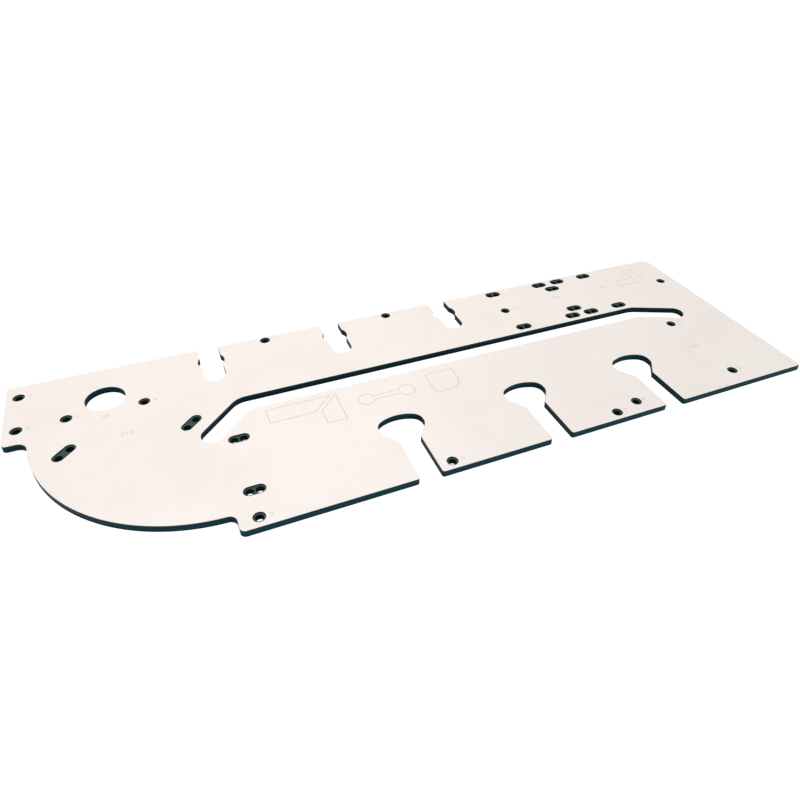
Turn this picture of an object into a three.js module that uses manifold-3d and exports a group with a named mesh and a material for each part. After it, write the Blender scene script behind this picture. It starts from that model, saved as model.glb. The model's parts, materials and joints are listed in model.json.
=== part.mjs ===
// Worktop jointing jig: a router template cut from one board of compact
// laminate, in millimetres, +Z up. The board is three bonded plies: a pale
// decor face, a dark phenolic core and a second pale face underneath.
// Plan positions are measured from the board's front left corner, X along its
// length and Y from its front edge to its rear edge. The whole board is then
// moved so that the origin is at the middle of its underside.

import * as THREE from 'three';
import { mergeVertices } from 'three/addons/utils/BufferGeometryUtils.js';
import Module from 'manifold-3d';

// ---------------------------------------------------------------- dimensions

const LENGTH = 1094;
const WIDTH = 369.5;
const THICKNESS = 10;
const FACE_PLY = 0.75; // thickness of each pale face

const GUIDE_BUSH = 30; // the router's guide bush sets the width of every slot
const END_ROUND = 14.9; // just under half the bush, so that a slot's end is a half circle
const EDGE_CORNER = 3; // radius of the board's outer corners
const REAR_RIGHT_CORNER = 13;

// The rounded left end that guides a curved cut, and the stop tab behind it.
const END_ARC = { x: 246, y: 245, radius: 217.4 };
const TAB = { frontY: 243.2, corner: 6, fillet: 13.8, arcStart: 4.5 };
const STEP = { x: 246, fillet: 9.7, corner: 7, arcEnd: 2.6 };

// Three bolt recesses open at the front edge, each a neck and a mushroom head.
const BOLT_RECESS = {
  firstX: 475,
  pitch: 188.25,
  count: 3,
  mouthCorner: 3.5,
  neckHalf: 15.15,
  neckEndY: 69.5,
  neckCorner: 2,
  headHalf: 31.5,
  shoulderY: 92.2,
  shoulderRadius: 16,
  cheekY: 110.3,
  cheekRadius: 15.8,
  crownY: 125.5,
  crownRadius: 51.8,
};

// Three slots open at the rear edge, each with a round widening for a pin.
const REAR_SLOT = {
  firstX: 267.5,
  pitch: 189.1,
  count: 3,
  endY: 284.8,
  endCorner: END_ROUND,
  mouthCorner: 1.5,
  wideningY: 335,
  wideningRadius: 19,
};

// The long slot for the main joint: a straight run and two angled legs.
const MAIN_SLOT = {
  y: 219.6,
  leftX: 292.3,
  rightX: 950.9,
  legLength: 83.2,
  leftAngle: 45,
  rightAngle: 23.25,
  endCorner: END_ROUND,
  outerBends: [28, 45],
  innerBend: 25,
};

const TAP_HOLE = { x: 121.7, y: 299.3, radius: 25.75 };

// Locating pin holes: a shallow round recess over a smaller through hole.
const PIN = { radius: 5, recessRadius: 7.5, recessDepth: 1.75 };
const SINGLE_PINS = [
  [15.5, 343], [15.5, 271], [73.5, 273.4], [169.6, 273.4],
  [269.6, 14.4], [508.7, 12.8], [759.9, 12.9], [799.6, 22.5],
  [983.8, 28.3], [984.3, 166.6], [1066.2, 291.5],
  [352.4, 360.7], [551.7, 361], [745.4, 303.1],
];

// Two pin holes that share one oblong recess: centre, and the recess's angle.
const PAIR_SPACING = 12;
const DIAGONAL_PAIR_SPACING = 17.7;
const PIN_PAIRS = [
  [71, 205.3, 45], [222, 205.3, 45],
  [273.3, 152.5, 0], [273.3, 57, 0],
  [751, 358, 0], [845, 358, 0], [883, 358, 0], [940, 358, 0],
  [861, 339, 0], [860, 268, 0],
  [750, 249, 0], [845, 249, 0], [882, 249, 0], [939, 249, 0],
];

// Facets: the largest angle between two points of an arc, by arc size.
const SMALL_ARC_STEP = 15;
const LARGE_ARC_STEP = 3;
const PIN_FACETS = 12;
const TAP_HOLE_FACETS = 36;

const COLOURS = { decor: 0xf2e8df, core: 0x18242a };

// ------------------------------------------------------------ outline helpers

const rad = THREE.MathUtils.degToRad;

/** Points of an arc about (x, y), from one angle to another in degrees. */
function arcPoints(x, y, radius, fromDeg, toDeg, stepDeg) {
  const count = Math.max(1, Math.ceil(Math.abs(toDeg - fromDeg) / stepDeg));
  return Array.from({ length: count + 1 }, (_, i) => {
    const angle = rad(fromDeg + ((toDeg - fromDeg) * i) / count);
    return [x + radius * Math.cos(angle), y + radius * Math.sin(angle)];
  });
}

/** A closed outline from corners [x, y, radius]; no radius is a sharp corner. */
function roundedOutline(corners) {
  const outline = [];
  corners.forEach(([x, y, radius = 0], i) => {
    const corner = new THREE.Vector2(x, y);
    if (radius === 0) {
      outline.push(corner);
      return;
    }
    const before = corners[(i + corners.length - 1) % corners.length];
    const after = corners[(i + 1) % corners.length];
    const toBefore = new THREE.Vector2(before[0] - x, before[1] - y).normalize();
    const toAfter = new THREE.Vector2(after[0] - x, after[1] - y).normalize();
    const half = Math.acos(THREE.MathUtils.clamp(toBefore.dot(toAfter), -1, 1)) / 2;
    const bisector = toBefore.clone().add(toAfter).normalize();
    const centre = corner.clone().addScaledVector(bisector, radius / Math.sin(half));
    const tangent = radius / Math.tan(half);
    const start = corner.clone().addScaledVector(toBefore, tangent).sub(centre);
    const end = corner.clone().addScaledVector(toAfter, tangent).sub(centre);
    const turn = Math.atan2(start.cross(end), start.dot(end));
    const from = THREE.MathUtils.radToDeg(start.angle());
    const sweep = THREE.MathUtils.radToDeg(turn);
    arcPoints(centre.x, centre.y, radius, from, from + sweep, SMALL_ARC_STEP).forEach(
      (point) => outline.push(new THREE.Vector2(...point)),
    );
  });
  return outline;
}

/** A round hole's outline. */
function circle(x, y, radius, facets) {
  return arcPoints(x, y, radius, 0, 360 - 360 / facets, 360 / facets).map(
    (point) => new THREE.Vector2(...point),
  );
}

/** An oblong hole's outline: two half circles about centres `spacing` apart. */
function oblong(x, y, angleDeg, spacing, radius) {
  const dx = (Math.cos(rad(angleDeg)) * spacing) / 2;
  const dy = (Math.sin(rad(angleDeg)) * spacing) / 2;
  const step = 360 / PIN_FACETS;
  return [
    ...arcPoints(x + dx, y + dy, radius, angleDeg - 90, angleDeg + 90, step),
    ...arcPoints(x - dx, y - dy, radius, angleDeg + 90, angleDeg + 270, step),
  ].map((point) => new THREE.Vector2(...point));
}

// ------------------------------------------------------- the board's openings

/** Corners of one bolt recess, from its left mouth round to its right mouth. */
function boltRecess(x) {
  const r = BOLT_RECESS;
  return [
    [x - r.neckHalf, 0, r.mouthCorner],
    [x - r.neckHalf, r.neckEndY, r.neckCorner],
    [x - r.headHalf, r.shoulderY, r.shoulderRadius],
    [x - r.headHalf, r.cheekY, r.cheekRadius],
    [x, r.crownY, r.crownRadius],
    [x + r.headHalf, r.cheekY, r.cheekRadius],
    [x + r.headHalf, r.shoulderY, r.shoulderRadius],
    [x + r.neckHalf, r.neckEndY, r.neckCorner],
    [x + r.neckHalf, 0, r.mouthCorner],
  ];
}

/** Corners of one rear slot, from its right mouth round to its left mouth. */
function rearSlot(x) {
  const s = REAR_SLOT;
  const half = GUIDE_BUSH / 2;
  const spread = THREE.MathUtils.radToDeg(Math.acos(half / s.wideningRadius));
  const widening = (from, to) =>
    arcPoints(x, s.wideningY, s.wideningRadius, from, to, SMALL_ARC_STEP);
  return [
    [x + half, WIDTH, s.mouthCorner],
    ...widening(spread, -spread),
    [x + half, s.endY, s.endCorner],
    [x - half, s.endY, s.endCorner],
    ...widening(180 + spread, 180 - spread),
    [x - half, WIDTH, s.mouthCorner],
  ];
}

/** The rounded left end: the tab's front edge, the long arc and the step. */
function leftEnd() {
  const { x, y, radius } = END_ARC;
  const from = 180 + TAB.arcStart;
  const to = 270 - STEP.arcEnd;
  const arc = arcPoints(x, y, radius, from, to, LARGE_ARC_STEP);
  const [startX, startY] = arc[0];
  const [endX, endY] = arc[arc.length - 1];
  const tabX = startX - (TAB.frontY - startY) * Math.tan(rad(TAB.arcStart));
  const stepY = endY - (STEP.x - endX) * Math.tan(rad(STEP.arcEnd));
  return [
    [0, TAB.frontY, TAB.corner],
    [tabX, TAB.frontY, TAB.fillet],
    ...arc,
    [STEP.x, stepY, STEP.fillet],
    [STEP.x, 0, STEP.corner],
  ];
}

/** The board's outer edge, counter-clockwise seen from above. */
function boardOutline() {
  const recesses = Array.from({ length: BOLT_RECESS.count }, (_, i) =>
    boltRecess(BOLT_RECESS.firstX + i * BOLT_RECESS.pitch),
  ).flat();
  const slots = Array.from({ length: REAR_SLOT.count }, (_, i) =>
    rearSlot(REAR_SLOT.firstX + i * REAR_SLOT.pitch),
  ).reverse().flat();
  return roundedOutline([
    ...recesses,
    [LENGTH, 0, EDGE_CORNER],
    [LENGTH, WIDTH, REAR_RIGHT_CORNER],
    ...slots,
    [0, WIDTH, EDGE_CORNER],
    ...leftEnd(),
  ]);
}

/** The long slot: both sides of its centre line, offset by half its width. */
function mainSlotOutline() {
  const s = MAIN_SLOT;
  const half = GUIDE_BUSH / 2;
  const left = rad(s.leftAngle);
  const right = rad(s.rightAngle);
  const side = (offset, bends) => {
    const leftMitre = offset * Math.tan(left / 2);
    const rightMitre = offset * Math.tan(right / 2);
    return [
      [
        s.leftX - s.legLength * Math.cos(left) - offset * Math.sin(left),
        s.y - s.legLength * Math.sin(left) + offset * Math.cos(left),
        s.endCorner,
      ],
      [s.leftX - leftMitre, s.y + offset, bends[0]],
      [s.rightX + rightMitre, s.y + offset, bends[1]],
      [
        s.rightX + s.legLength * Math.cos(right) + offset * Math.sin(right),
        s.y - s.legLength * Math.sin(right) + offset * Math.cos(right),
        s.endCorner,
      ],
    ];
  };
  const inner = side(-half, [s.innerBend, s.innerBend]);
  const outer = side(half, s.outerBends).reverse();
  return roundedOutline([...inner, ...outer]);
}

/** Centres of every through hole of a pair. */
function pairCentres([x, y, angleDeg]) {
  const half = pairSpacing(angleDeg) / 2;
  const dx = half * Math.cos(rad(angleDeg));
  const dy = half * Math.sin(rad(angleDeg));
  return [[x - dx, y - dy], [x + dx, y + dy]];
}

function pairSpacing(angleDeg) {
  return angleDeg === 0 ? PAIR_SPACING : DIAGONAL_PAIR_SPACING;
}

const largeHoles = [
  mainSlotOutline(),
  circle(TAP_HOLE.x, TAP_HOLE.y, TAP_HOLE.radius, TAP_HOLE_FACETS),
];
const pinHoles = [...SINGLE_PINS, ...PIN_PAIRS.flatMap(pairCentres)].map(([x, y]) =>
  circle(x, y, PIN.radius, PIN_FACETS),
);
const pinRecesses = [
  ...SINGLE_PINS.map(([x, y]) => circle(x, y, PIN.recessRadius, PIN_FACETS)),
  ...PIN_PAIRS.map(([x, y, angleDeg]) =>
    oblong(x, y, angleDeg, pairSpacing(angleDeg), PIN.recessRadius),
  ),
];

// -------------------------------------------------------------------- solids

const wasm = await Module();
wasm.setup();

/** A flat plate of one outline with holes, standing on z = 0. */
function plate(outline, holes, thickness) {
  const shape = new THREE.Shape(outline);
  shape.holes = holes.map((hole) => new THREE.Path(hole));
  return new THREE.ExtrudeGeometry(shape, { depth: thickness, bevelEnabled: false });
}

/** A closed geometry as a manifold solid. */
function toSolid(geometry) {
  const bare = geometry.clone();
  bare.deleteAttribute('normal');
  bare.deleteAttribute('uv');
  const merged = mergeVertices(bare, 1e-4);
  return new wasm.Manifold(
    new wasm.Mesh({
      numProp: 3,
      vertProperties: new Float32Array(merged.attributes.position.array),
      triVerts: new Uint32Array(merged.index.array),
    }),
  );
}

/** A manifold solid back as a geometry. */
function toGeometry(solid) {
  const mesh = solid.getMesh();
  const geometry = new THREE.BufferGeometry();
  geometry.setAttribute('position', new THREE.BufferAttribute(mesh.vertProperties, 3));
  geometry.setIndex(new THREE.BufferAttribute(mesh.triVerts, 1));
  geometry.computeVertexNormals();
  return geometry;
}

/** The core: a drilled plate, with every pin recess sunk into its top. */
function coreGeometry(outline, thickness) {
  const sink = PIN.recessDepth - FACE_PLY;
  let solid = toSolid(plate(outline, [...largeHoles, ...pinHoles], thickness));
  for (const recess of pinRecesses) {
    const cutter = plate(recess, [], sink + 1);
    cutter.translate(0, 0, thickness - sink);
    solid = solid.subtract(toSolid(cutter));
  }
  return toGeometry(solid);
}

// ------------------------------------------------------------------ assembly

const outline = boardOutline();
const corePly = THICKNESS - 2 * FACE_PLY;
const decor = new THREE.MeshStandardMaterial({ color: COLOURS.decor, roughness: 0.45 });
const phenolic = new THREE.MeshStandardMaterial({ color: COLOURS.core, roughness: 0.6 });

function ply(name, geometry, material, bottomZ) {
  const mesh = new THREE.Mesh(geometry, material);
  mesh.name = name;
  mesh.position.z = bottomZ;
  return mesh;
}

const board = new THREE.Group();
board.position.set(-LENGTH / 2, -WIDTH / 2, 0);
board.add(
  ply('underside_laminate', plate(outline, [...largeHoles, ...pinHoles], FACE_PLY), decor, 0),
  ply('phenolic_core', coreGeometry(outline, corePly), phenolic, FACE_PLY),
  ply(
    'top_laminate',
    plate(outline, [...largeHoles, ...pinRecesses], FACE_PLY),
    decor,
    FACE_PLY + corePly,
  ),
);

export default board;
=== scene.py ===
# %% [markdown]
# # A worktop jointing jig
# The object is one flat board, 10 mm thick, that guides a hand-held router. It is compact
# laminate: a dark phenolic core pressed hard between two pale decor faces. Nothing on it moves.
# What makes it a tool is its outline, so this lesson is mostly about cutting clean holes:
# rims drawn as curves, then flat faces filled between the rims and thin walls swept along them.
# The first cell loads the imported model, which fixes every size.

# %% Load the fixed frame
import json
import math

import bmesh
import bpy
from mathutils import Matrix, Vector


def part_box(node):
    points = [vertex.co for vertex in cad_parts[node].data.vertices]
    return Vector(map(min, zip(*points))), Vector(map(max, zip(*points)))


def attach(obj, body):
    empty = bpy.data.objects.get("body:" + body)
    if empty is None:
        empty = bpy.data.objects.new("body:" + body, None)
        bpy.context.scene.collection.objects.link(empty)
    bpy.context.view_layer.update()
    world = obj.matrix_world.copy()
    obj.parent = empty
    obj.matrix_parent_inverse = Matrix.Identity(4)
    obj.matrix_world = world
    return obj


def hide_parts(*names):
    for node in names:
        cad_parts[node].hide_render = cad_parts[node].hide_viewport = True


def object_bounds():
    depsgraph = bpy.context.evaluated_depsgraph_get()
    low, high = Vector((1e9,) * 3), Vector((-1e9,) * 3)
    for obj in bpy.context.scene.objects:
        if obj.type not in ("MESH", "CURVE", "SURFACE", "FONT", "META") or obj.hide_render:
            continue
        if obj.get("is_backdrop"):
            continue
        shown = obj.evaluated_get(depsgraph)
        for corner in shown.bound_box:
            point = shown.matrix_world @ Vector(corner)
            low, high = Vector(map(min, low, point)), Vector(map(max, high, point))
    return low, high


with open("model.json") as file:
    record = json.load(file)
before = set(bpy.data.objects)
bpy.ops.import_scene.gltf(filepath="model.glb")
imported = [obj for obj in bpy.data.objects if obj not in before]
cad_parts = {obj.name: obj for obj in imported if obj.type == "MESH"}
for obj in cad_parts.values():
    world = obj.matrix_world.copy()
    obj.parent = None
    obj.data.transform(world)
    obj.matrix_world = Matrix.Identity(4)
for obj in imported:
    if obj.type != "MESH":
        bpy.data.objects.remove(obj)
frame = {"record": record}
cad_low, cad_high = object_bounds()
MM = 0.001
LENGTH, WIDTH, THICKNESS = ((cad_high - cad_low) / MM)[:]
print(f"board {LENGTH:.1f} x {WIDTH:.1f} x {THICKNESS:.1f} mm")

# %% [markdown]
# ## Camera
# The camera comes first, so that every later render can be compared with the last one. It
# stands in front of the left end, 0.6 m above the board, with a moderately wide lens. The
# small shift places the board in a square picture without turning the camera.

# %% Place the camera
CAMERA_PLACE = (-0.3268, -0.7109, 0.6017)
CAMERA_TURN = (55.785, -1.784, -23.973)
CAMERA_LENS = 30.32
CAMERA_SHIFT = (-0.0394, -0.0723)

scene = bpy.context.scene
camera = bpy.data.objects.new("camera", bpy.data.cameras.new("camera"))
camera.location = CAMERA_PLACE
camera.rotation_euler = [math.radians(angle) for angle in CAMERA_TURN]
camera.data.lens = CAMERA_LENS
camera.data.shift_x, camera.data.shift_y = CAMERA_SHIFT
camera.data.clip_start, camera.data.clip_end = 0.01, 100
scene.collection.objects.link(camera)
scene.camera = camera
print("camera", camera.location[:])

# %% [markdown]
# ## The drawing
# A template maker works from a flat drawing. Ours is measured in millimetres from the board's
# front left corner. A corner is a point with a radius, so an outline needs only the points
# that its shape needs, and one function turns every corner into an arc.

# %% Arcs and rounded corners
ARC_STEP = 5  # degrees between two points of a small arc
LONG_ARC_STEP = 1  # the same for the long arc at the left end


def arc(x, y, radius, start, stop, step=ARC_STEP):
    """Points of an arc about (x, y), from one angle to another in degrees."""
    count = max(1, math.ceil(abs(stop - start) / step))
    angles = [math.radians(start + (stop - start) * i / count) for i in range(count + 1)]
    return [(x + radius * math.cos(a), y + radius * math.sin(a)) for a in angles]


def rounded(corners):
    """A closed outline from corners (x, y) or (x, y, radius)."""
    outline = []
    for i, (x, y, *rest) in enumerate(corners):
        if not rest:
            outline.append((x, y))
            continue
        corner, radius = Vector((x, y)), rest[0]
        before = (Vector(corners[i - 1][:2]) - corner).normalized()
        after = (Vector(corners[(i + 1) % len(corners)][:2]) - corner).normalized()
        half = before.angle(after) / 2
        middle = corner + (before + after).normalized() * radius / math.sin(half)
        start = corner + before * radius / math.tan(half) - middle
        turn = start.angle_signed(corner + after * radius / math.tan(half) - middle)
        angle = math.degrees(math.atan2(start.y, start.x))
        outline += arc(*middle, radius, angle, angle - math.degrees(turn))
    return outline


print("a quarter arc has", len(arc(0, 0, 1, 0, 90)), "points")

# %% [markdown]
# ## Where the openings are
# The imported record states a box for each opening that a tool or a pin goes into. The middle of
# that box is the middle of the opening, so the drawing takes its places from the record and
# can't drift away from the part.

# %% Read the openings
openings = {
    o["name"]: (Vector(o["box_m"][0]) + Vector(o["box_m"][1])) / 2
    for o in frame["record"]["physics"]["openings"]
}


def spots(start, end=""):
    """Drawing places, in millimetres, of the openings with these names."""
    found = [p for n, p in openings.items() if n.startswith(start) and n.endswith(end)]
    return [tuple(((p - cad_low) / MM)[:2]) for p in found]


recess_places = spots("bolt_recess", "neck")
rear_places = spots("rear_slot")
single_pins = spots("pin_hole")
tap_place = spots("tap_hole")[0]
print(len(recess_places), "bolt recesses,", len(single_pins), "single pin holes")

# %% [markdown]
# ## The outer edge
# Three bolt recesses open at the front edge: each has a straight neck and a mushroom head,
# which the guide bush follows to cut the pocket for a worktop bolt. Three straight slots open
# at the rear edge, each with a round widening. The left end is one long arc for curved ends.

# %% Outline the board
BUSH = 30  # the guide bush's diameter sets the width of every slot
END_ROUND = 14.9  # just under half the bush, so that a slot's end is a half circle
EDGE_CORNER, REAR_RIGHT_CORNER = 3, 13
NECK_HALF, NECK_END, HEAD_HALF = 15.15, 69.5, 31.5
MOUTH_CORNER, NECK_CORNER, REAR_MOUTH_CORNER = 3.5, 2, 1.5
SHOULDER, CHEEK, CROWN = (92.2, 16), (110.3, 15.8), (125.5, 51.8)
REAR_END, WIDENING_PLACE, WIDENING = 284.8, 335, 19
END_X, END_Y, END_RADIUS = 246, 245, 217.4
TAB_FRONT, TAB_CORNER, TAB_FILLET, ARC_START = 243.2, 6, 13.8, 4.5
STEP_FILLET, STEP_CORNER, ARC_END = 9.7, 7, 2.6


def bolt_recess(x):
    """Corners of one bolt recess, from its left mouth round to its right mouth."""
    right = [
        (x + NECK_HALF, 0, MOUTH_CORNER),
        (x + NECK_HALF, NECK_END, NECK_CORNER),
        (x + HEAD_HALF, *SHOULDER),
        (x + HEAD_HALF, *CHEEK),
    ]
    left = [(2 * x - px, py, radius) for px, py, radius in right]
    return left + [(x, *CROWN)] + right[::-1]


def rear_slot(x):
    """Corners of one rear slot, from its right mouth round to its left mouth."""
    half = BUSH / 2
    spread = math.degrees(math.acos(half / WIDENING))
    return [
        (x + half, WIDTH, REAR_MOUTH_CORNER),
        *arc(x, WIDENING_PLACE, WIDENING, spread, -spread),
        (x + half, REAR_END, END_ROUND),
        (x - half, REAR_END, END_ROUND),
        *arc(x, WIDENING_PLACE, WIDENING, 180 + spread, 180 - spread),
        (x - half, WIDTH, REAR_MOUTH_CORNER),
    ]


def left_end():
    """The rounded left end: the tab's front edge, the long arc and the step."""
    long_arc = arc(END_X, END_Y, END_RADIUS, 180 + ARC_START, 270 - ARC_END, LONG_ARC_STEP)
    (start_x, start_y), (end_x, end_y) = long_arc[0], long_arc[-1]
    tab_x = start_x - (TAB_FRONT - start_y) * math.tan(math.radians(ARC_START))
    step_y = end_y - (END_X - end_x) * math.tan(math.radians(ARC_END))
    return [
        (0, TAB_FRONT, TAB_CORNER),
        (tab_x, TAB_FRONT, TAB_FILLET),
        *long_arc,
        (END_X, step_y, STEP_FILLET),
        (END_X, 0, STEP_CORNER),
    ]


board_outline = rounded(
    [corner for x, _ in recess_places for corner in bolt_recess(x)]
    + [(LENGTH, 0, EDGE_CORNER), (LENGTH, WIDTH, REAR_RIGHT_CORNER)]
    + [corner for x, _ in reversed(rear_places) for corner in rear_slot(x)]
    + [(0, WIDTH, EDGE_CORNER)]
    + left_end()
)
print("outer edge:", len(board_outline), "points")

# %% [markdown]
# ## The long slot and the tap hole
# The main joint is cut along one long slot with two angled legs. Its outline is the slot's
# centre line moved half a bush to each side. The round hole beside it is a template for a tap
# hole. Holes are listed clockwise and the outer edge anticlockwise, so that the material is
# always on the left of a rim, and one rule can then bevel every edge.

# %% Outline the large openings
SLOT_Y, SLOT_LEFT, SLOT_RIGHT, SLOT_LEG = 219.6, 292.3, 950.9, 83.2
LEFT_LEG, RIGHT_LEG = math.radians(45), math.radians(23.25)
SLOT_BENDS = {1: (28, 45), -1: (25, 25)}
TAP_RADIUS, TAP_STEP = 25.75, 4


def slot_side(side):
    """One side of the slot, from its left end to its right end."""
    off = side * BUSH / 2
    left_bend, right_bend = SLOT_BENDS[side]
    return [
        (
            SLOT_LEFT - SLOT_LEG * math.cos(LEFT_LEG) - off * math.sin(LEFT_LEG),
            SLOT_Y - SLOT_LEG * math.sin(LEFT_LEG) + off * math.cos(LEFT_LEG),
            END_ROUND,
        ),
        (SLOT_LEFT - off * math.tan(LEFT_LEG / 2), SLOT_Y + off, left_bend),
        (SLOT_RIGHT + off * math.tan(RIGHT_LEG / 2), SLOT_Y + off, right_bend),
        (
            SLOT_RIGHT + SLOT_LEG * math.cos(RIGHT_LEG) + off * math.sin(RIGHT_LEG),
            SLOT_Y - SLOT_LEG * math.sin(RIGHT_LEG) + off * math.cos(RIGHT_LEG),
            END_ROUND,
        ),
    ]


main_slot = rounded(slot_side(1) + slot_side(-1)[::-1])
tap_hole = arc(*tap_place, TAP_RADIUS, 360, TAP_STEP, TAP_STEP)  # clockwise
print("main slot:", len(main_slot), "points, tap hole:", len(tap_hole))

# %% [markdown]
# ## Rims as curves
# Blender can fill and sweep curves, so each outline becomes one closed spline. All of them are
# straight between points. The helper also moves the drawing into the frame, in metres.

# %% Turn outlines into curves


def to_frame(x, y):
    return (cad_low.x + x * MM, cad_low.y + y * MM, 0.0)


def rim_curve(name, outlines):
    """A curve object with one closed spline for each outline."""
    curve = bpy.data.curves.new(name, "CURVE")
    curve.dimensions = "3D"
    for outline in outlines:
        spline = curve.splines.new("POLY")
        spline.points.add(len(outline) - 1)
        for point, place in zip(spline.points, outline):
            point.co = (*to_frame(*place), 1)
        spline.use_cyclic_u = True
    made = bpy.data.objects.new(name, curve)
    scene.collection.objects.link(made)
    return made


rims = rim_curve("board_rims", [board_outline, main_slot, tap_hole])
print(len(rims.data.splines), "rims")

# %% [markdown]
# ## Pin sites
# The jig is held square by loose pins, which drop into stepped holes: a shallow recess for the
# pin's flange over a smaller hole for its shank. Some sites are single. Others are pairs in one
# oblong recess, so that a joint can be cut with a small allowance. Each site is one vertex that
# carries its own spacing and angle, which is all that a Geometry Nodes tree needs.

# %% Mark the pin sites
PAIR, DIAGONAL_PAIR = 12, 17.7  # spacing of the two holes
pair_sites = [
    (71, 205.3, 45), (222, 205.3, 45),
    (273.3, 152.5, 0), (273.3, 57, 0),
    (751, 358, 0), (845, 358, 0), (883, 358, 0), (940, 358, 0),
    (861, 339, 0), (860, 268, 0),
    (750, 249, 0), (845, 249, 0), (882, 249, 0), (939, 249, 0),
]


def point_cloud(name, places, **attributes):
    """A mesh of loose vertices, with a float attribute for each keyword."""
    mesh = bpy.data.meshes.new(name)
    mesh.from_pydata([to_frame(*place) for place in places], [], [])
    for key, values in attributes.items():
        mesh.attributes.new(key, "FLOAT", "POINT").data.foreach_set("value", values)
    made = bpy.data.objects.new(name, mesh)
    scene.collection.objects.link(made)
    return made


pin_sites = point_cloud(
    "pin_sites",
    single_pins + [(x, y) for x, y, _ in pair_sites],
    spacing=[0.0] * len(single_pins)
    + [(DIAGONAL_PAIR if angle else PAIR) * MM for _, _, angle in pair_sites],
    angle=[0.0] * len(single_pins)
    + [math.radians(angle) for _, _, angle in pair_sites],
)
print(len(pin_sites.data.vertices), "pin sites")

# %% [markdown]
# ## Building trees
# Every tree below, for shapes and for finishes, is made of nodes and links. These helpers add a
# node, set its properties, and either link each input or give it a value.

# %% Add nodes to a tree


def plug(tree, socket, value):
    """Link a socket to another node's output, or give it a plain value."""
    if isinstance(value, bpy.types.NodeSocket):
        tree.links.new(value, socket)
    else:
        socket.default_value = value


def add(tree, kind, inputs=None, **settings):
    """A new node; inputs maps a socket's name or number to a value or an output."""
    made = tree.nodes.new(kind)
    for name, value in settings.items():
        setattr(made, name, value)
    for name, value in (inputs or {}).items():
        plug(tree, made.inputs[name], value)
    return made


def maths(tree, operation, *values):
    """The result of one Math node, such as maths(tree, "ADD", first, second)."""
    inputs = dict(enumerate(values))
    return add(tree, "ShaderNodeMath", inputs, operation=operation).outputs[0]


def new_group(name, kind, inputs, outputs):
    """A node group with named sockets: ("Name", "Float", default), ..."""
    tree = bpy.data.node_groups.new(name, kind)
    for label, socket, *value in inputs:
        made = tree.interface.new_socket(
            label, in_out="INPUT", socket_type="NodeSocket" + socket
        )
        if value:
            made.default_value = value[0]
    for label, socket in outputs:
        tree.interface.new_socket(
            label, in_out="OUTPUT", socket_type="NodeSocket" + socket
        )
    return tree, tree.nodes.new("NodeGroupInput").outputs, tree.nodes.new("NodeGroupOutput")


def use(tree, group, inputs):
    """A group as one node of a larger tree."""
    kind = group.bl_idname.replace("Tree", "Group")
    made = tree.nodes.new(kind)
    made.node_tree = group
    for name, value in inputs.items():
        plug(tree, made.inputs[name], value)
    return made.outputs[0]


def joined(tree, parts):
    """One geometry made of several."""
    made = tree.nodes.new("GeometryNodeJoinGeometry")
    for part in parts:
        tree.links.new(part, made.inputs[0])
    return made.outputs[0]


GEOMETRY = "GeometryNodeTree"
print("tree helpers ready")

# %% [markdown]
# ## A band along a rim
# A wall or a bevel is the same thing: a short straight line swept along a rim. The line runs
# from one depth to another and may also move into the material. Sweeping a line downwards
# makes faces that look out of the material.

# %% Sweep a band along rims
band, given, out = new_group(
    "Band along rims",
    GEOMETRY,
    [
        ("Rims", "Geometry"),
        ("Top Inset", "Float"),
        ("Top Height", "Float"),
        ("Bottom Inset", "Float"),
        ("Bottom Height", "Float"),
    ],
    [("Band", "Geometry")],
)
upright = add(
    band, "GeometryNodeSetCurveNormal", {"Curve": given["Rims"]}, mode="Z_UP"
)
ends = []
for end in ("Top", "Bottom"):
    across = maths(band, "MULTIPLY", given[f"{end} Inset"], -1)
    down = maths(band, "MULTIPLY", given[f"{end} Height"], -1)
    ends.append(add(band, "ShaderNodeCombineXYZ", {"X": across, "Y": down}))
line = add(
    band,
    "GeometryNodeCurvePrimitiveLine",
    {"Start": ends[0].outputs[0], "End": ends[1].outputs[0]},
)
sweep = add(
    band,
    "GeometryNodeCurveToMesh",
    {"Curve": upright.outputs[0], "Profile Curve": line.outputs[0]},
)
band.links.new(sweep.outputs[0], out.inputs["Band"])
print(band.name, len(band.nodes), "nodes")

# %% [markdown]
# ## A flat face between rims
# A face of the board is the area inside its outer rim and outside its holes. Fill Curve makes
# it from any number of nested rims. A bevel needs that face pulled back from its edges: the
# left side of a rim is the cross product of up and the rim's direction, and it is always
# towards the material.

# %% Pull rims back and fill them
inset_rims, given, out = new_group(
    "Inset rims",
    GEOMETRY,
    [("Rims", "Geometry"), ("Inset", "Float")],
    [("Rims", "Geometry")],
)
direction = add(inset_rims, "GeometryNodeInputTangent")
left = add(
    inset_rims,
    "ShaderNodeVectorMath",
    {0: (0, 0, 1), 1: direction.outputs[0]},
    operation="CROSS_PRODUCT",
)
back = add(
    inset_rims,
    "ShaderNodeVectorMath",
    {0: left.outputs[0], "Scale": given["Inset"]},
    operation="SCALE",
)
pulled = add(
    inset_rims,
    "GeometryNodeSetPosition",
    {"Geometry": given["Rims"], "Offset": back.outputs[0]},
)
inset_rims.links.new(pulled.outputs[0], out.inputs["Rims"])

flat, given, out = new_group(
    "Flat face",
    GEOMETRY,
    [("Rims", "Geometry"), ("Height", "Float")],
    [("Face", "Geometry")],
)
filled = add(
    flat, "GeometryNodeFillCurve", {"Curve": given["Rims"]}, mode="TRIANGLES"
)
height = add(flat, "ShaderNodeCombineXYZ", {"Z": given["Height"]})
raised = add(
    flat,
    "GeometryNodeSetPosition",
    {"Geometry": filled.outputs[0], "Offset": height.outputs[0]},
)
flat.links.new(raised.outputs[0], out.inputs["Face"])
print(inset_rims.name, "and", flat.name)

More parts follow.
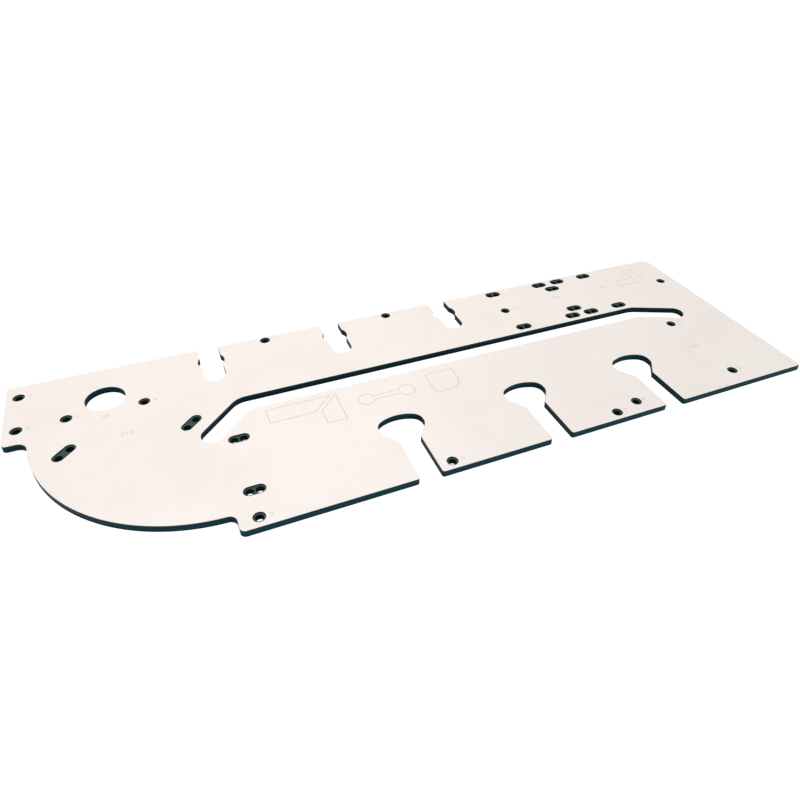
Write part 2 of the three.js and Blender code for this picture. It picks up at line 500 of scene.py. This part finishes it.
# %% [markdown]
# ## Rims of the pin holes
# One circle is copied to every site. For a recess, each copy is then pulled apart along its
# site's angle, half of it each way, which turns a circle into an oblong with round ends. For
# the shanks, each site gives one hole at each end of its spacing, or a single hole.

# %% Rims of recesses and shank holes
PIN_SEGMENTS = 46  # not a multiple of four, so no point lies on the dividing line
RECESS_RADIUS, HOLE_RADIUS = 7.5 * MM, 5 * MM


def site_value(tree, name):
    """A value that each site carries."""
    return add(
        tree, "GeometryNodeInputNamedAttribute", {"Name": name}, data_type="FLOAT"
    ).outputs[0]


def along_site(tree, amount):
    """A vector along the site's angle, amount times half the spacing long."""
    angle = site_value(tree, "angle")
    reach = maths(tree, "MULTIPLY", site_value(tree, "spacing"), 0.5)
    length = maths(tree, "MULTIPLY", reach, amount)
    cosine, sine = (maths(tree, operation, angle) for operation in ("COSINE", "SINE"))
    unit = add(tree, "ShaderNodeCombineXYZ", {"X": cosine, "Y": sine})
    stretch = {0: unit.outputs[0], "Scale": length}
    return add(tree, "ShaderNodeVectorMath", stretch, operation="SCALE").outputs[0]


def clockwise_circle(tree, radius, segments):
    """A hole's rim, which keeps the material on its left."""
    inputs = {"Radius": radius, "Resolution": segments}
    circle = add(tree, "GeometryNodeCurvePrimitiveCircle", inputs)
    return add(tree, "GeometryNodeReverseCurve", {"Curve": circle.outputs[0]}).outputs[0]


PIN_INPUTS = [
    ("Sites", "Geometry"),
    ("Radius", "Float", RECESS_RADIUS),
    ("Segments", "Int", PIN_SEGMENTS),
]
recess_rims, given, out = new_group(
    "Recess rims", GEOMETRY, PIN_INPUTS, [("Rims", "Geometry")]
)
place = add(recess_rims, "GeometryNodeInputPosition")
parts = add(recess_rims, "ShaderNodeSeparateXYZ", {0: place.outputs[0]})
side = maths(recess_rims, "SIGN", parts.outputs["X"])
halves = add(
    recess_rims,
    "GeometryNodeStoreNamedAttribute",
    {
        "Geometry": clockwise_circle(recess_rims, given["Radius"], given["Segments"]),
        "Name": "side",
        "Value": side,
    },
    data_type="FLOAT",
    domain="POINT",
)
euler = add(
    recess_rims, "ShaderNodeCombineXYZ", {"Z": site_value(recess_rims, "angle")}
)
turn = add(recess_rims, "FunctionNodeEulerToRotation", {0: euler.outputs[0]})
copies = add(
    recess_rims,
    "GeometryNodeInstanceOnPoints",
    {
        "Points": given["Sites"],
        "Instance": halves.outputs[0],
        "Rotation": turn.outputs[0],
    },
)
real = add(recess_rims, "GeometryNodeRealizeInstances", {"Geometry": copies.outputs[0]})
stretched = add(
    recess_rims,
    "GeometryNodeSetPosition",
    {
        "Geometry": real.outputs[0],
        "Offset": along_site(recess_rims, site_value(recess_rims, "side")),
    },
)
recess_rims.links.new(stretched.outputs[0], out.inputs["Rims"])

shank_rims, given, out = new_group(
    "Shank hole rims", GEOMETRY, PIN_INPUTS, [("Rims", "Geometry")]
)
circle = clockwise_circle(shank_rims, given["Radius"], given["Segments"])
paired = add(
    shank_rims,
    "FunctionNodeCompare",
    {0: site_value(shank_rims, "spacing"), 1: 0.0},
    data_type="FLOAT",
    operation="GREATER_THAN",
)
holes = []
for amount, chosen in ((1.0, True), (-1.0, paired.outputs[0])):
    moved = add(
        shank_rims,
        "GeometryNodeSetPosition",
        {"Geometry": given["Sites"], "Offset": along_site(shank_rims, amount)},
    )
    copies = add(
        shank_rims,
        "GeometryNodeInstanceOnPoints",
        {"Points": moved.outputs[0], "Instance": circle, "Selection": chosen},
    )
    holes.append(copies.outputs[0])
real = add(
    shank_rims, "GeometryNodeRealizeInstances", {"Geometry": joined(shank_rims, holes)}
)
shank_rims.links.new(real.outputs[0], out.inputs["Rims"])
print(recess_rims.name, "and", shank_rims.name)

# %% [markdown]
# ## Engraved marks
# The board carries shallow engraved marks: a number beside each single pin hole, a few sizes,
# and plain signs for what the jig cuts: a mitred joint, a bolt pocket, a rounded corner and a
# worktop that turns a corner. A texture could draw them, but a real groove catches the light.
# So each sign is a pair of nested rims, and the area between them becomes the groove.

# %% Draw the signs
SIGN_STROKE, SIGN_ARC_STEP = 1.1, 10
HEAD_RADIUS, BAR_HALF = 12, 4.5


def inset(points, distance):
    """An anticlockwise outline moved inwards, with its corners kept."""
    moved = []
    for i, point in enumerate(points):
        here = Vector(point)
        before = (here - Vector(points[i - 1])).normalized().orthogonal()
        after = (Vector(points[(i + 1) % len(points)]) - here).normalized().orthogonal()
        inward = (before + after).normalized()
        moved.append(here + inward * distance / inward.dot(before))
    return [tuple(p) for p in moved]


def bolt_sign(x, y, length):
    """Two round heads joined by a straight bar."""
    gap = math.degrees(math.asin(BAR_HALF / HEAD_RADIUS))
    return [
        *arc(x + HEAD_RADIUS, y, HEAD_RADIUS, gap, 360 - gap, SIGN_ARC_STEP),
        *arc(x + length - HEAD_RADIUS, y, HEAD_RADIUS, gap - 180, 180 - gap, SIGN_ARC_STEP),
    ]


mitred_boards = [
    [(316, 166), (378, 166), (406, 194), (316, 194)],
    [(386, 138), (414, 138), (414, 194), (386, 166)],
]
bolt_pocket = bolt_sign(438, 166, 84)
rounded_corner = [
    (546, 144), *arc(568, 166, 22, 270, 360, SIGN_ARC_STEP), (590, 188), (546, 188)
]
l_worktop = [(985, 303), (1040, 303), (1040, 348), (1022, 348), (1022, 321), (985, 321)]
sign_shapes = [*mitred_boards, bolt_pocket, rounded_corner, l_worktop]
sign = rim_curve(
    "sign_rims", [rim for shape in sign_shapes for rim in (shape, inset(shape, SIGN_STROKE))]
)
print(len(sign.data.splines), "rims of", len(sign_shapes), "sign shapes")

# %% [markdown]
# A number needs one point for each digit, which carries the digit as an attribute. The numbers
# of the pins stand just to the right of their holes, and the sizes stand in free spaces.

# %% Lay out the numbers
DIGIT_SIZE, DIGIT_STEP, GLYPH_RESOLUTION = 9.0, 5.6, 4
NUMBER_OFFSET = (11.5, -3.2)
SIZES = {
    "35": (tap_place[0] - DIGIT_STEP, tap_place[1] - 42),
    "215": (136, 212),
    "600": (966, 98),
    "650": (842, 307),
    "900": (940, 307),
}


def number_places(text, x, y):
    """One place for each digit of a number, with the digit's value."""
    return [(x + DIGIT_STEP * i, y, int(digit)) for i, digit in enumerate(text)]


digits = []
for number, (x, y) in enumerate(single_pins, start=1):
    digits += number_places(str(number), x + NUMBER_OFFSET[0], y + NUMBER_OFFSET[1])
for text, (x, y) in SIZES.items():
    digits += number_places(text, x, y)
digit_points = point_cloud(
    "digit_points",
    [(x, y) for x, y, _ in digits],
    digit=[float(digit) for _, _, digit in digits],
)
print(len(digits), "digits")

# %% [markdown]
# The digits come from the plain font that Blender carries. Each glyph is an instance, placed
# in a line of text. Setting every instance back to the origin turns the line into a set of
# stamps, and Pick Instance then chooses the stamp by its number.

# %% Rims of the digits
digit_rims, given, out = new_group(
    "Digit rims",
    GEOMETRY,
    [("Places", "Geometry"), ("Size", "Float", DIGIT_SIZE * MM)],
    [("Rims", "Geometry")],
)
text_line = add(
    digit_rims,
    "GeometryNodeStringToCurves",
    {"String": "0123456789", "Size": given["Size"]},
)
origin = add(digit_rims, "ShaderNodeCombineXYZ")
stamps = add(
    digit_rims,
    "GeometryNodeSetPosition",
    {"Geometry": text_line.outputs[0], "Position": origin.outputs[0]},
)
picked = add(
    digit_rims,
    "GeometryNodeInstanceOnPoints",
    {
        "Points": given["Places"],
        "Instance": stamps.outputs[0],
        "Pick Instance": True,
        "Instance Index": site_value(digit_rims, "digit"),
    },
)
real = add(digit_rims, "GeometryNodeRealizeInstances", {"Geometry": picked.outputs[0]})
smooth = add(
    digit_rims,
    "GeometryNodeSetSplineResolution",
    {"Geometry": real.outputs[0], "Resolution": GLYPH_RESOLUTION},
)
straight = add(
    digit_rims,
    "GeometryNodeResampleCurve",
    {"Curve": smooth.outputs[0]},
    mode="EVALUATED",
)
digit_rims.links.new(straight.outputs[0], out.inputs["Rims"])
print(digit_rims.name)

# %% [markdown]
# ## The routed ply
# The board is three plies, and each is the same idea: an outer edge and slots, pin holes, and
# flat faces above and below. One tree makes all three from different inputs. A boolean cut
# would also work, but it leaves long thin triangles and no bevels, while rims give both the
# bevel and a clean wall. The tree starts with its inputs, which carry the sizes.

# %% Start the ply tree
ENGRAVED_DEPTH = 0.12 * MM
WELD = 0.001 * MM
ply, given, out = new_group(
    "Routed ply",
    GEOMETRY,
    [
        ("Board Rims", "Object"),
        ("Pin Sites", "Object"),
        ("Digit Places", "Object"),
        ("Sign Rims", "Object"),
        ("Recess Radius", "Float", RECESS_RADIUS),
        ("Hole Radius", "Float", HOLE_RADIUS),
        ("High", "Float"),
        ("Ledge", "Float"),
        ("Low", "Float"),
        ("High Bevel", "Float"),
        ("Low Bevel", "Float"),
        ("Recess Above", "Bool", True),
        ("Recess Below", "Bool", True),
        ("Engraved", "Bool", False),
        ("Engraved Depth", "Float", ENGRAVED_DEPTH),
        ("Material", "Material"),
    ],
    [("Geometry", "Geometry")],
)


def shape_of(name):
    """The geometry of the object that an input names."""
    return add(ply, "GeometryNodeObjectInfo", {"Object": given[name]}).outputs["Geometry"]


def choose(switch, no, yes):
    """One geometry or another; None is nothing at all."""
    inputs = {"Switch": switch, "True": yes}
    if no is not None:
        inputs["False"] = no
    return add(ply, "GeometryNodeSwitch", inputs, input_type="GEOMETRY").outputs[0]


board = shape_of("Board Rims")
sites = shape_of("Pin Sites")
recesses = use(ply, recess_rims, {"Sites": sites, "Radius": given["Recess Radius"]})
shanks = use(ply, shank_rims, {"Sites": sites, "Radius": given["Hole Radius"]})
upper = choose(given["Recess Above"], shanks, recesses)
lower = choose(given["Recess Below"], shanks, recesses)
digit_marks = use(ply, digit_rims, {"Places": shape_of("Digit Places")})
marks = joined(ply, [digit_marks, shape_of("Sign Rims")])
print("inputs:", ", ".join(socket.name for socket in given if socket.name))

# %% [markdown]
# Walls and bevels come next. Each one is a band with a top and a bottom. The outer edge and the
# slots run the full depth of the ply. A pin hole has an upper part down to the ledge and a
# lower part below it. In a ply where both parts are alike, the ledge costs nothing, because
# points in the same place are merged at the end.

# %% Walls, bevels and faces
high_shoulder = maths(ply, "SUBTRACT", given["High"], given["High Bevel"])
low_shoulder = maths(ply, "ADD", given["Low"], given["Low Bevel"])
top_edge = (given["High Bevel"], given["High"]), (0.0, high_shoulder)
bottom_edge = (0.0, low_shoulder), (given["Low Bevel"], given["Low"])


def strip(rims, top, bottom):
    """A band between two (inset, height) ends."""
    names = ("Top Inset", "Top Height", "Bottom Inset", "Bottom Height")
    return use(ply, band, {"Rims": rims, **dict(zip(names, (*top, *bottom)))})


def face(parts, height):
    """A flat face between all the rims in parts."""
    return use(ply, flat, {"Rims": joined(ply, parts), "Height": height})


def pulled_back(rims, inset):
    return use(ply, inset_rims, {"Rims": rims, "Inset": inset})


shell = [
    strip(joined(ply, [board, upper]), *top_edge),
    strip(board, (0.0, high_shoulder), (0.0, low_shoulder)),
    strip(upper, (0.0, high_shoulder), (0.0, given["Ledge"])),
    strip(lower, (0.0, given["Ledge"]), (0.0, low_shoulder)),
    strip(joined(ply, [board, lower]), *bottom_edge),
]
high_rims = pulled_back(joined(ply, [board, upper]), given["High Bevel"])
low_rims = pulled_back(joined(ply, [board, lower]), given["Low Bevel"])
under = add(ply, "GeometryNodeFlipFaces", {"Mesh": face([low_rims], given["Low"])})
shell.append(under.outputs[0])

ledge = face([recesses, shanks], given["Ledge"])
stepped = add(
    ply,
    "FunctionNodeBooleanMath",
    {0: given["Recess Above"], 1: given["Recess Below"]},
    operation="NIMPLY",
)
shell.append(choose(stepped.outputs[0], None, ledge))
print(len(shell), "parts of the shell")

# %% [markdown]
# Engraving adds the marks to the rims of the top face, so the face is open there, and then
# gives each mark a wall and a floor of its own. The last nodes merge the seams, turn instances
# into real geometry and set the material.

# %% Engrave and finish the tree
plain_face = face([high_rims], given["High"])
marked_face = face([high_rims, marks], given["High"])
groove_height = maths(ply, "SUBTRACT", given["High"], given["Engraved Depth"])
groove = joined(
    ply,
    [
        strip(marks, (0.0, given["High"]), (0.0, groove_height)),
        face([marks], groove_height),
    ],
)
engraved_top = joined(ply, [marked_face, groove])
shell.append(choose(given["Engraved"], plain_face, engraved_top))

welded = add(
    ply,
    "GeometryNodeMergeByDistance",
    {"Geometry": joined(ply, shell), "Distance": WELD},
)
real = add(ply, "GeometryNodeRealizeInstances", {"Geometry": welded.outputs[0]})
painted = add(
    ply,
    "GeometryNodeSetMaterial",
    {"Geometry": real.outputs[0], "Material": given["Material"]},
)
ply.links.new(painted.outputs[0], out.inputs["Geometry"])
print(ply.name, len(ply.nodes), "nodes")

# %% [markdown]
# ## Node groups for the finishes
# Both finishes need some of the same effects, so these are groups with named sockets. A group
# gives only a mask or a value. The shader itself stays in each material, where its constants
# are easy to find. All of them use object coordinates, in metres, so nothing needs unwrapping.

# %% Shared effects
SHADER = "ShaderNodeTree"


def object_place(tree, scale=(1, 1, 1), turn=0.0):
    """Object coordinates, stretched and turned about the upright axis."""
    spot = add(tree, "ShaderNodeTexCoord")
    inputs = {"Vector": spot.outputs["Object"], "Scale": scale, "Rotation": (0, 0, turn)}
    return add(tree, "ShaderNodeMapping", inputs).outputs[0]


def between(tree, value, low, high, first=0.0, last=1.0):
    """A smooth step from first to last, as the value goes from low to high."""
    inputs = {1: low, 2: high, 3: first, 4: last, 0: value}
    kind = "ShaderNodeMapRange"
    return add(tree, kind, inputs, interpolation_type="SMOOTHSTEP").outputs[0]


def noise(tree, place, scale, detail, **inputs):
    """The value of a noise texture."""
    inputs.update(Vector=place, Scale=scale, Detail=detail)
    return add(tree, "ShaderNodeTexNoise", inputs).outputs[0]


smudges, given, out = new_group(
    "Smudges", SHADER, [("Scale", "Float", 9.0)], [("Mask", "Float")]
)
cloud = noise(smudges, object_place(smudges), given["Scale"], 6, Roughness=0.62)
smudges.links.new(between(smudges, cloud, 0.42, 0.68), out.inputs["Mask"])

hairlines, given, out = new_group(
    "Hairline scratches", SHADER, [("Density", "Float", 1.0)], [("Mask", "Float")]
)
LINE_DIRECTIONS = ((0.12, (3, 420, 1)), (-0.31, (2.4, 350, 1)), (1.22, (5, 520, 1)))
lines = []
for turn, stretch in LINE_DIRECTIONS:
    streak = noise(hairlines, object_place(hairlines, stretch, turn), given["Density"], 2)
    lines.append(between(hairlines, streak, 0.70, 0.76))
first = maths(hairlines, "MAXIMUM", lines[0], lines[1])
every = maths(hairlines, "MAXIMUM", first, lines[2])
hairlines.links.new(every, out.inputs["Mask"])

faces, given, out = new_group("Facing up or down", SHADER, [], [("Mask", "Float")])
spot = add(faces, "ShaderNodeTexCoord")
parts = add(faces, "ShaderNodeSeparateXYZ", {0: spot.outputs["Normal"]})
size = maths(faces, "ABSOLUTE", parts.outputs["Z"])
faces.links.new(between(faces, size, 0.8, 0.95), out.inputs["Mask"])
print(", ".join(tree.name for tree in (smudges, hairlines, faces)))

# %% [markdown]
# ## The decor laminate
# The faces are a printed paper under a hard melamine film: a warm white, satin, and very
# slightly mottled by the press plate. The paper is only a quarter of a millimetre deep, so an
# edge of this ply shows a pale line and then the same dark phenolic as the core. The shader
# tells them apart by height. Engraved grooves are a little darker than the face.

# %% Decor laminate material
WHITE, MOTTLE = (0.88, 0.82, 0.785, 1), (0.84, 0.78, 0.74, 1)
GROOVE, PHENOLIC = (0.52, 0.48, 0.45, 1), (0.006, 0.020, 0.025, 1)
PAPER, PAPER_BLUR = 0.25 * MM, 0.02 * MM
GROOVE_TOP, GROOVE_FLOOR = 0.03 * MM, 0.09 * MM  # below the face
DIRT_SHARE, FLECK_SHARE, SCRATCH_SHARE, GROOVE_SHARE = 0.8, 0.3, 0.08, 0.75
BUMP_DEPTH = 0.05 * MM


def new_material(name, **constants):
    """A material, its tree, and its shader with constants on the shader's own sockets."""
    material = bpy.data.materials.new(name)
    material.use_nodes = True
    shader = material.node_tree.nodes["Principled BSDF"]
    for socket, value in constants.items():
        shader.inputs[socket.replace("_", " ")].default_value = value
    return material, material.node_tree, shader


def blend(tree, factor, first, second):
    """A colour mix. Only the enabled sockets of the node take colours."""
    node = add(tree, "ShaderNodeMix", data_type="RGBA")
    sockets = [socket for socket in node.inputs if socket.enabled]
    for socket, value in zip(sockets, (factor, first, second)):
        plug(tree, socket, value)
    return next(socket for socket in node.outputs if socket.enabled)


def bumped(tree, relief, strength):
    """A normal that follows a height."""
    inputs = {"Height": relief, "Strength": strength, "Distance": BUMP_DEPTH}
    return add(tree, "ShaderNodeBump", inputs).outputs[0]


decor, tree, shader = new_material("satin_decor", IOR=1.5)
height = add(tree, "ShaderNodeSeparateXYZ", {0: object_place(tree)}).outputs["Z"]
surface = THICKNESS * MM / 2
depth = maths(tree, "ABSOLUTE", maths(tree, "SUBTRACT", height, surface))
paper_end = surface - PAPER
in_paper = between(tree, depth, paper_end - PAPER_BLUR, paper_end + PAPER_BLUR)
in_groove = between(tree, depth, surface - GROOVE_FLOOR, surface - GROOVE_TOP, 1.0, 0.0)
dirt = use(tree, smudges, {"Scale": 7.0})
scratched = use(tree, hairlines, {"Density": 1.0})
flecks = use(tree, smudges, {"Scale": 240.0})

tone = WHITE
for mask, share, colour in (
    (dirt, DIRT_SHARE, MOTTLE),
    (flecks, FLECK_SHARE, MOTTLE),
    (scratched, SCRATCH_SHARE, GROOVE),
    (in_groove, GROOVE_SHARE, GROOVE),
):
    tone = blend(tree, maths(tree, "MULTIPLY", mask, share), tone, colour)
tone = blend(tree, in_paper, PHENOLIC, tone)
tree.links.new(tone, shader.inputs["Base Color"])

satin = between(tree, dirt, 0.0, 1.0, 0.36, 0.46)
scuffs = maths(tree, "MULTIPLY", scratched, 0.18)
tree.links.new(maths(tree, "ADD", satin, scuffs), shader.inputs["Roughness"])
grain = noise(tree, object_place(tree), 900.0, 3)
relief = maths(tree, "SUBTRACT", grain, scratched)
tree.links.new(bumped(tree, relief, 0.2), shader.inputs["Normal"])
print(decor.name, len(tree.nodes), "nodes")

# %% [markdown]
# ## The phenolic core
# The core is many sheets of brown-black kraft paper, soaked in resin and pressed into a solid.
# Cut edges show the sheets as very fine level lines, and the cutter leaves small upright
# ripples. Level areas, such as the ledges in the recesses, are end-milled: they are rougher and
# dustier. Their colour is also painted lighter than the walls: partly dust, partly painted light
# from the overhead lamp, which falls on level faces and not on walls.

# %% Phenolic core material
# Both core tones carry a teal tint, which is a painted reflection of the cool front lamp; the
# core itself is near-black.
SHEET, WALL = (0.008, 0.027, 0.033, 1), (0.005, 0.016, 0.020, 1)
# A lighter colour for level faces: milling dust, and painted light where the overhead lamp falls
# on them.
DUST_AND_PAINTED_LIGHT = (0.066, 0.098, 0.082, 1)
core, tree, shader = new_material(
    "pressed_phenolic", Specular_IOR_Level=0.1, Specular_Tint=(0.05, 0.7, 1.0, 1)
)
sheets = noise(tree, object_place(tree, (6, 6, 2600)), 1.0, 2)
ripples = noise(tree, object_place(tree, (900, 900, 6)), 1.0, 1)
level = use(tree, faces, {})
dust_and_light_noise = use(tree, smudges, {"Scale": 60.0})
tone = blend(tree, between(tree, sheets, 0.35, 0.65), WALL, SHEET)
# Level faces are painted lighter, partly as dust and partly as painted light from above.
dust_and_light_share = between(tree, dust_and_light_noise, 0.0, 1.0, 0.75, 1.0)
tone = blend(tree, maths(tree, "MULTIPLY", level, dust_and_light_share), tone, DUST_AND_PAINTED_LIGHT)
tree.links.new(tone, shader.inputs["Base Color"])
tree.links.new(between(tree, level, 0.0, 1.0, 0.42, 0.7), shader.inputs["Roughness"])
relief = maths(tree, "ADD", sheets, ripples)
tree.links.new(bumped(tree, relief, 0.25), shader.inputs["Normal"])
print(core.name, len(tree.nodes), "nodes")

# %% [markdown]
# ## Cutting the plies
# The tree runs once for each ply, on an empty object, with its inputs set first. The result is
# taken as a mesh and the modifier goes away, so each finished ply is a plain closed mesh. The
# check counts the edges that don't have exactly two faces: a closed solid has none.

# %% Run the tree for one ply
SHARP = math.radians(30)


def routed_ply(name, **inputs):
    """One ply as a plain closed mesh. A keyword is an input's name, with _ for a space."""
    made = bpy.data.objects.new(name, bpy.data.meshes.new(name))
    scene.collection.objects.link(made)
    modifier = made.modifiers.new("ply", "NODES")
    modifier.node_group = ply
    inputs.update(Board_Rims=rims, Pin_Sites=pin_sites)
    inputs.update(Digit_Places=digit_points, Sign_Rims=sign)
    items = ply.interface.items_tree
    sockets = {item.name: item.identifier for item in items if item.in_out == "INPUT"}
    for key, value in inputs.items():
        modifier[sockets[key.replace("_", " ")]] = value
    made.update_tag()
    ready = made.evaluated_get(bpy.context.evaluated_depsgraph_get())
    mesh = bpy.data.meshes.new_from_object(ready)
    made.modifiers.clear()
    made.data = mesh
    work = bmesh.new()
    work.from_mesh(mesh)
    bmesh.ops.recalc_face_normals(work, faces=work.faces)
    loose = sum(1 for edge in work.edges if len(edge.link_faces) != 2)
    volume = work.calc_volume(signed=True) / MM**3
    work.to_mesh(mesh)
    work.free()
    mesh.shade_smooth()
    mesh.set_sharp_from_angle(angle=SHARP)
    print(f"{name}: {len(mesh.polygons)} faces, {loose} open edges, {volume:.0f} mm3")
    return made


print("ready to cut")

# %% [markdown]
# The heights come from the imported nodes, so each ply fills exactly the space of the solid that
# it replaces. The top ply has the recesses right through it, the core has the ledge, and the
# underside has only the shank holes. Only the two outer faces get a bevel.

# %% Cut the three plies
BEVEL = 0.3 * MM
LEDGE = 8.25 * MM


def heights(node):
    """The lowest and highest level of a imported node."""
    low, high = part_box(node)
    return low.z, high.z


low, high = heights("top_laminate")
top = routed_ply(
    "top_ply", Low=low, Ledge=low, High=high, High_Bevel=BEVEL,
    Recess_Above=True, Recess_Below=True, Engraved=True, Material=decor,
)
low, high = heights("phenolic_core")
middle = routed_ply(
    "core_ply", Low=low, Ledge=LEDGE, High=high,
    Recess_Above=True, Recess_Below=False, Material=core,
)
low, high = heights("underside_laminate")
bottom = routed_ply(
    "underside_ply", Low=low, Ledge=high, High=high, Low_Bevel=BEVEL,
    Recess_Above=False, Recess_Below=False, Material=decor,
)

for helper in (rims, pin_sites, digit_points, sign):
    bpy.data.objects.remove(helper)

# %% [markdown]
# ## Placing the plies
# Nothing on the jig moves, so every ply rides the one body. Each ply takes the place of its
# plain solid, which is hidden.

# %% Replace the plain solids
for piece, node, slot in (
    (top, "top_laminate", "decor_laminate"),
    (middle, "phenolic_core", "phenolic_core"),
    (bottom, "underside_laminate", "decor_laminate"),
):
    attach(piece, "root")
    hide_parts(node)
    print(piece.name, "takes the place of", node)

# %% [markdown]
# ## Floor and light
# The jig lies on a plain white table in a bright studio. The table is almost evenly white to
# the camera, so most of its brightness is its own, and the rest is light that falls on it. One
# broad lamp hangs over the far side and gives the satin face its even glow. A long cool lamp,
# low in front, lifts the dark cut edges out of black. The sky gives the rest of the light.

# %% Stage the jig
FLOOR_HALF, FLOOR_DROP = 6.0, 0.0005
GLOW, GLOW_SHARE = 1.15, 0.96
SKY_LIGHT, SKY_SEEN = 0.55, 1.0  # strength as a light, and to the camera

floor_mesh = bpy.data.meshes.new("floor")
corners = ((-1, -1), (1, -1), (1, 1), (-1, 1))
places = [(x * FLOOR_HALF, y * FLOOR_HALF, -FLOOR_DROP) for x, y in corners]
floor_mesh.from_pydata(places, [], [(0, 1, 2, 3)])
floor = bpy.data.objects.new("floor", floor_mesh)
scene.collection.objects.link(floor)
table, tree, shader = new_material("white_table", Base_Color=(0.8, 0.8, 0.8, 1), Roughness=0.9)
seen = add(tree, "ShaderNodeLightPath").outputs["Is Camera Ray"]
glow = add(tree, "ShaderNodeEmission", {"Color": (1, 1, 1, 1), "Strength": GLOW})
share = maths(tree, "MULTIPLY", seen, GLOW_SHARE)
inputs = {0: share, 1: shader.outputs[0], 2: glow.outputs[0]}
mix = add(tree, "ShaderNodeMixShader", inputs)
tree.links.new(mix.outputs[0], tree.nodes["Material Output"].inputs["Surface"])
floor_mesh.materials.append(table)
floor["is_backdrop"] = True


def lamp(name, place, target, size, power, colour):
    """A rectangular lamp, size in metres and power in watts, turned to a target."""
    light = bpy.data.lights.new(name, "AREA")
    light.shape, light.energy, light.color = "RECTANGLE", power, colour
    light.size, light.size_y = size
    made = bpy.data.objects.new(name, light)
    aim = Vector(target) - Vector(place)
    made.matrix_world = Matrix.LocRotScale(place, aim.to_track_quat("-Z", "Y"), None)
    scene.collection.objects.link(made)
    return made


lamp("overhead", (-0.2, 0.9, 1.9), (-0.15, 0, 0), (2.0, 2.0), 30, (1.0, 0.91, 0.85))
fill = lamp("front_fill", (0.3, -2.4, 0.24), (0, 0, 0), (2.6, 0.3), 60, (0.5, 0.85, 1.0))
fill.visible_glossy = False  # it would flare on the satin face in a view from behind

world = bpy.data.worlds.new("studio")
world.use_nodes = True
tree = world.node_tree
sky = tree.nodes["Background"]
sky.inputs["Color"].default_value = (1, 1, 1, 1)
seen = add(tree, "ShaderNodeLightPath").outputs["Is Camera Ray"]
strength = between(tree, seen, 0.0, 1.0, SKY_LIGHT, SKY_SEEN)
tree.links.new(strength, sky.inputs["Strength"])
scene.world = world
scene.view_settings.view_transform = "Standard"

# %% [markdown]
# ## Sizes
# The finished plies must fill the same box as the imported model.

# %% Write the sizes and finish
low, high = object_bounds()
print("visual size:", [round(v / MM, 2) for v in high - low], "mm")
